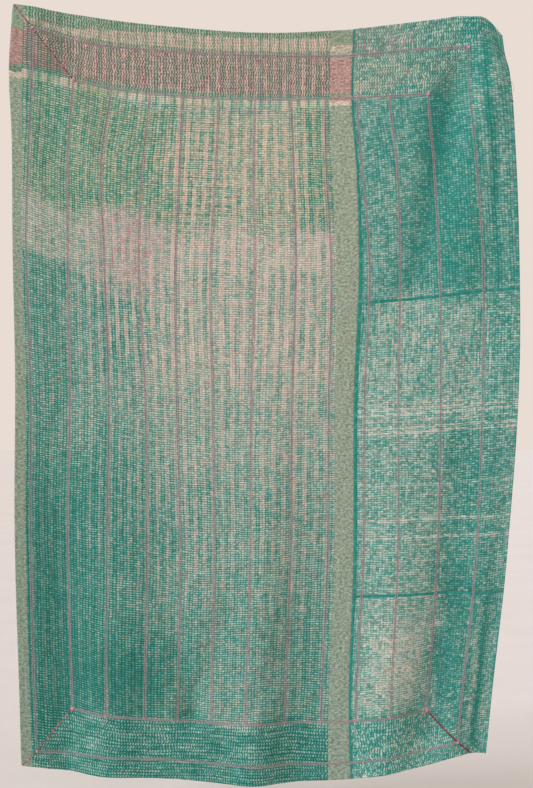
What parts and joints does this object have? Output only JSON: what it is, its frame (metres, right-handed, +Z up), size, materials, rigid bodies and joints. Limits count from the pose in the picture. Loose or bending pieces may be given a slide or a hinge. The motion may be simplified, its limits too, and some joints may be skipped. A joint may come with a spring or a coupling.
{
  "type": "kantha quilt",
  "caption": "Layered cotton kantha quilt hung by its two upper corners, with a sagging top edge, pieced panels, stitched channels and soft hanging folds.",
  "frame": {"origin": "middle of the sagging top edge, in the mid-plane of the cloth", "axes": "+Z up along the length of the hanging quilt, +X to the right of someone looking at its face, +Y from the face to the back"},
  "size_m": [1.5569, 0.0763, 2.3735],
  "materials": {
    "faded_green_cotton": "matt worn cotton, faded green with cream running stitches and sage woven borders",
    "teal_cotton": "matt cotton, saturated teal with sparse cream running stitches",
    "worn_teal_cotton": "matt worn cotton, teal mottled with cream running stitches",
    "pale_teal_cotton": "matt worn cotton, pale teal, most faded in its middle"
  },
  "bodies": {
    "root": {"left_panel": "faded_green_cotton", "right_panel_top": "teal_cotton", "right_panel_middle": "worn_teal_cotton", "right_panel_bottom": "pale_teal_cotton"}
  },
  "joints": []
}
